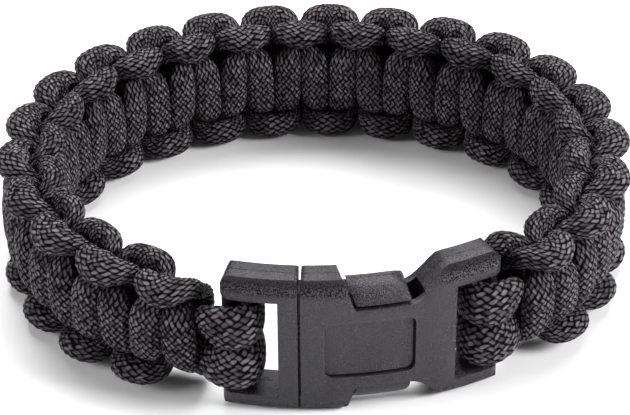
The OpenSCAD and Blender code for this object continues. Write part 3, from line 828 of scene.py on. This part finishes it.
def panel_highlight_and_shade(right, up, face):
    """The panel's painted highlight, a bright strip just past its outline, and its painted shade, a
    dark foot that is the panel less the panel moved up and to the left by PANEL_SHADE."""
    past = past_panel(right, up)
    outside = past.smooth(-SOFT, SOFT)
    rim_highlight = outside * (1.0 - past.smooth(PANEL_RIM - SOFT, PANEL_RIM + SOFT)) * face
    shaded = past_panel(right + PANEL_SHADE, up - PANEL_SHADE).smooth(-SOFT, SOFT)
    return rim_highlight, (1.0 - outside) * shaded * face


def rolled_edges(up, face, stipple):
    """How far a point is into the rolled edges above and below, where a dark reflection is painted,
    and the painted glints there, which are the stipple's tops and thin out towards the buckle's top
    and bottom."""
    off_middle = up.math("ABSOLUTE")
    roll = face * off_middle.smooth(ROLL_FROM, ROLL_FULL)
    left = off_middle.smooth(ROLL_FULL, ROLL_END).between(1.0, BAREST)
    painted_glints = stipple.smooth(*GLINT_TOPS) * left
    return roll, painted_glints


# %% Plastic material
STIPPLE_SCALE, CLOUD_SCALE = 6500.0, 300.0  # of its two noises, per metre
STIPPLE_RISE, STIPPLE_TOPS = (0.30, 0.72), (0.46, 0.66)  # of the stipple: its relief, its grey
RELIEF_DEPTH = 0.14 * MM
STIPPLE_DEPTH, LINE_DEPTH = 0.35, 0.8  # as shares of RELIEF_DEPTH
PLASTIC_BLACK, PLASTIC_GREY = (0.0055, 0.0045, 0.0069), (0.0370, 0.0315, 0.0435)
STIPPLE_TONE, CLOUD_TONE, RIM_HIGHLIGHT_TONE, GLINT_TONE = 0.75, 0.2, 0.5, 0.45  # each one's part of the grey; the rim's is a painted highlight, the specks' painted glints
LINE_SHARE = 0.2  # of the grey that is left in the parting line
PAINTED_DARK_BY, PAINTED_DARK_METAL, PAINTED_DARK_ROUGH = 0.9, 0.8, 0.55  # what a place of painted dark reflection or painted shade is darker, metal, rougher by
PLAIN_ROUGH, CLOUD_ROUGH = 0.22, 0.10  # the least roughness, and more in cloudy patches


def moulded_acetal():
    """Black acetal with the mould's stipple, on Object coordinates. The parting line is where the
    distance from the front arc's axis is PARTING_R. The painted dark places, a painted reflection on
    the rolled edges and painted shade at the panel's foot, are nearly black, and mostly metallic too:
    a black metal has no highlight, which plastic always has."""
    material, shader, start = new_material("moulded_black_acetal", Specular_IOR_Level=0.44)
    spot = start.node("ShaderNodeTexCoord", out=OBJECT)
    radius, right, up = buckle_place(spot)
    stipple = start.noise(spot, STIPPLE_SCALE, 2.0)
    cloud = start.noise(spot, CLOUD_SCALE, 4.0)
    off_line = (radius - PARTING_R).math("ABSOLUTE").smooth(*PARTING_EDGE)
    face = radius.smooth(ROLL_R, ROLL_R + 2 * SOFT)
    rim_highlight, foot_shade = panel_highlight_and_shade(right, up, face)
    roll, painted_glints = rolled_edges(up, face, stipple)
    # Painted dark: a painted reflection on the rolled edges, left out at the glints, and painted
    # shade at the panel's foot.
    dark_reflection_and_shade = (roll * (1.0 - painted_glints)).math("MAXIMUM", foot_shade)
    height = stipple.smooth(*STIPPLE_RISE) * STIPPLE_DEPTH + off_line * LINE_DEPTH
    # The rim's part of the grey is a painted highlight.
    plain = stipple.smooth(*STIPPLE_TOPS) * STIPPLE_TONE + cloud * CLOUD_TONE + rim_highlight * RIM_HIGHLIGHT_TONE
    tone = plain * off_line.between(LINE_SHARE, 1.0) * (1.0 - dark_reflection_and_shade * PAINTED_DARK_BY)
    # Painted glints: the stipple's tops on the rolled edges are made lighter.
    tone = tone + roll * painted_glints * GLINT_TONE
    feed(
        shader,
        Base_Color=tone.blend(PLASTIC_BLACK, PLASTIC_GREY),
        Roughness=PLAIN_ROUGH + cloud * CLOUD_ROUGH + dark_reflection_and_shade * PAINTED_DARK_ROUGH,
        Metallic=dark_reflection_and_shade * PAINTED_DARK_METAL,
        Normal=start.node("ShaderNodeBump", Height=height, Distance=RELIEF_DEPTH, Strength=1.0),
    )
    return material


acetal = moulded_acetal()
for half in buckle_halves:
    half.data.materials.append(acetal)
print("acetal:", len(acetal.node_tree.nodes), "nodes on", len(buckle_halves), "halves")

# %% [markdown]
# ## Floor and light
# The bracelet rests on a plain pale floor. A wide soft light high behind it lights the floor and
# the faces that look up, and a small one stands low at each side, a little in front. The faces
# that look forward are mostly lit by the floor. A sky of one even brightness fills the shadows.
# One sun would be simpler, but its hard shadows and small highlights don't suit black cord.

# %% Floor
FLOOR_HALF, FLOOR_WHITE = 6.0, (0.9, 0.9, 0.9, 1)
floor_mesh = bpy.data.meshes.new("floor")
corners = [(x * FLOOR_HALF, y * FLOOR_HALF, 0) for x, y in ((-1, -1), (1, -1), (1, 1), (-1, 1))]
floor_mesh.from_pydata(corners, [], [(0, 1, 2, 3)])
floor = bpy.data.objects.new("floor", floor_mesh)
bpy.context.scene.collection.objects.link(floor)
floor_mesh.materials.append(new_material("pale_floor", Base_Color=FLOOR_WHITE, Roughness=0.9)[0])
print("floor", 2 * FLOOR_HALF, "m wide")

# %% Lights and sky
SOFTBOXES = (
    # name, place in metres, side in metres, watts
    ("back", (0.0, 0.32, 0.53), 0.52, 7.6),
    ("left", (-0.55, -0.18, 0.28), 0.25, 2.5),
    ("right", (0.55, -0.12, 0.30), 0.25, 6.4),
)
SKY_STRENGTH = 0.16


def softbox(name, place, side, watts):
    """A square area light at a place, facing the bracelet."""
    light = bpy.data.lights.new(name, "AREA")
    light.shape = "SQUARE"
    light.size = side
    light.energy = watts
    made = bpy.data.objects.new(name, light)
    bpy.context.scene.collection.objects.link(made)
    made.location = place
    made.rotation_euler = (CAMERA_AIM - Vector(place)).to_track_quat("-Z", "Y").to_euler()
    print("light", name, watts, "W")


for box in SOFTBOXES:
    softbox(*box)
world = bpy.data.worlds.new("sky")
world.use_nodes = True
sky = world.node_tree.nodes["Background"].inputs
sky["Color"].default_value = (1, 1, 1, 1)
sky["Strength"].default_value = SKY_STRENGTH
bpy.context.scene.world = world
bpy.context.scene.view_settings.view_transform = "Standard"
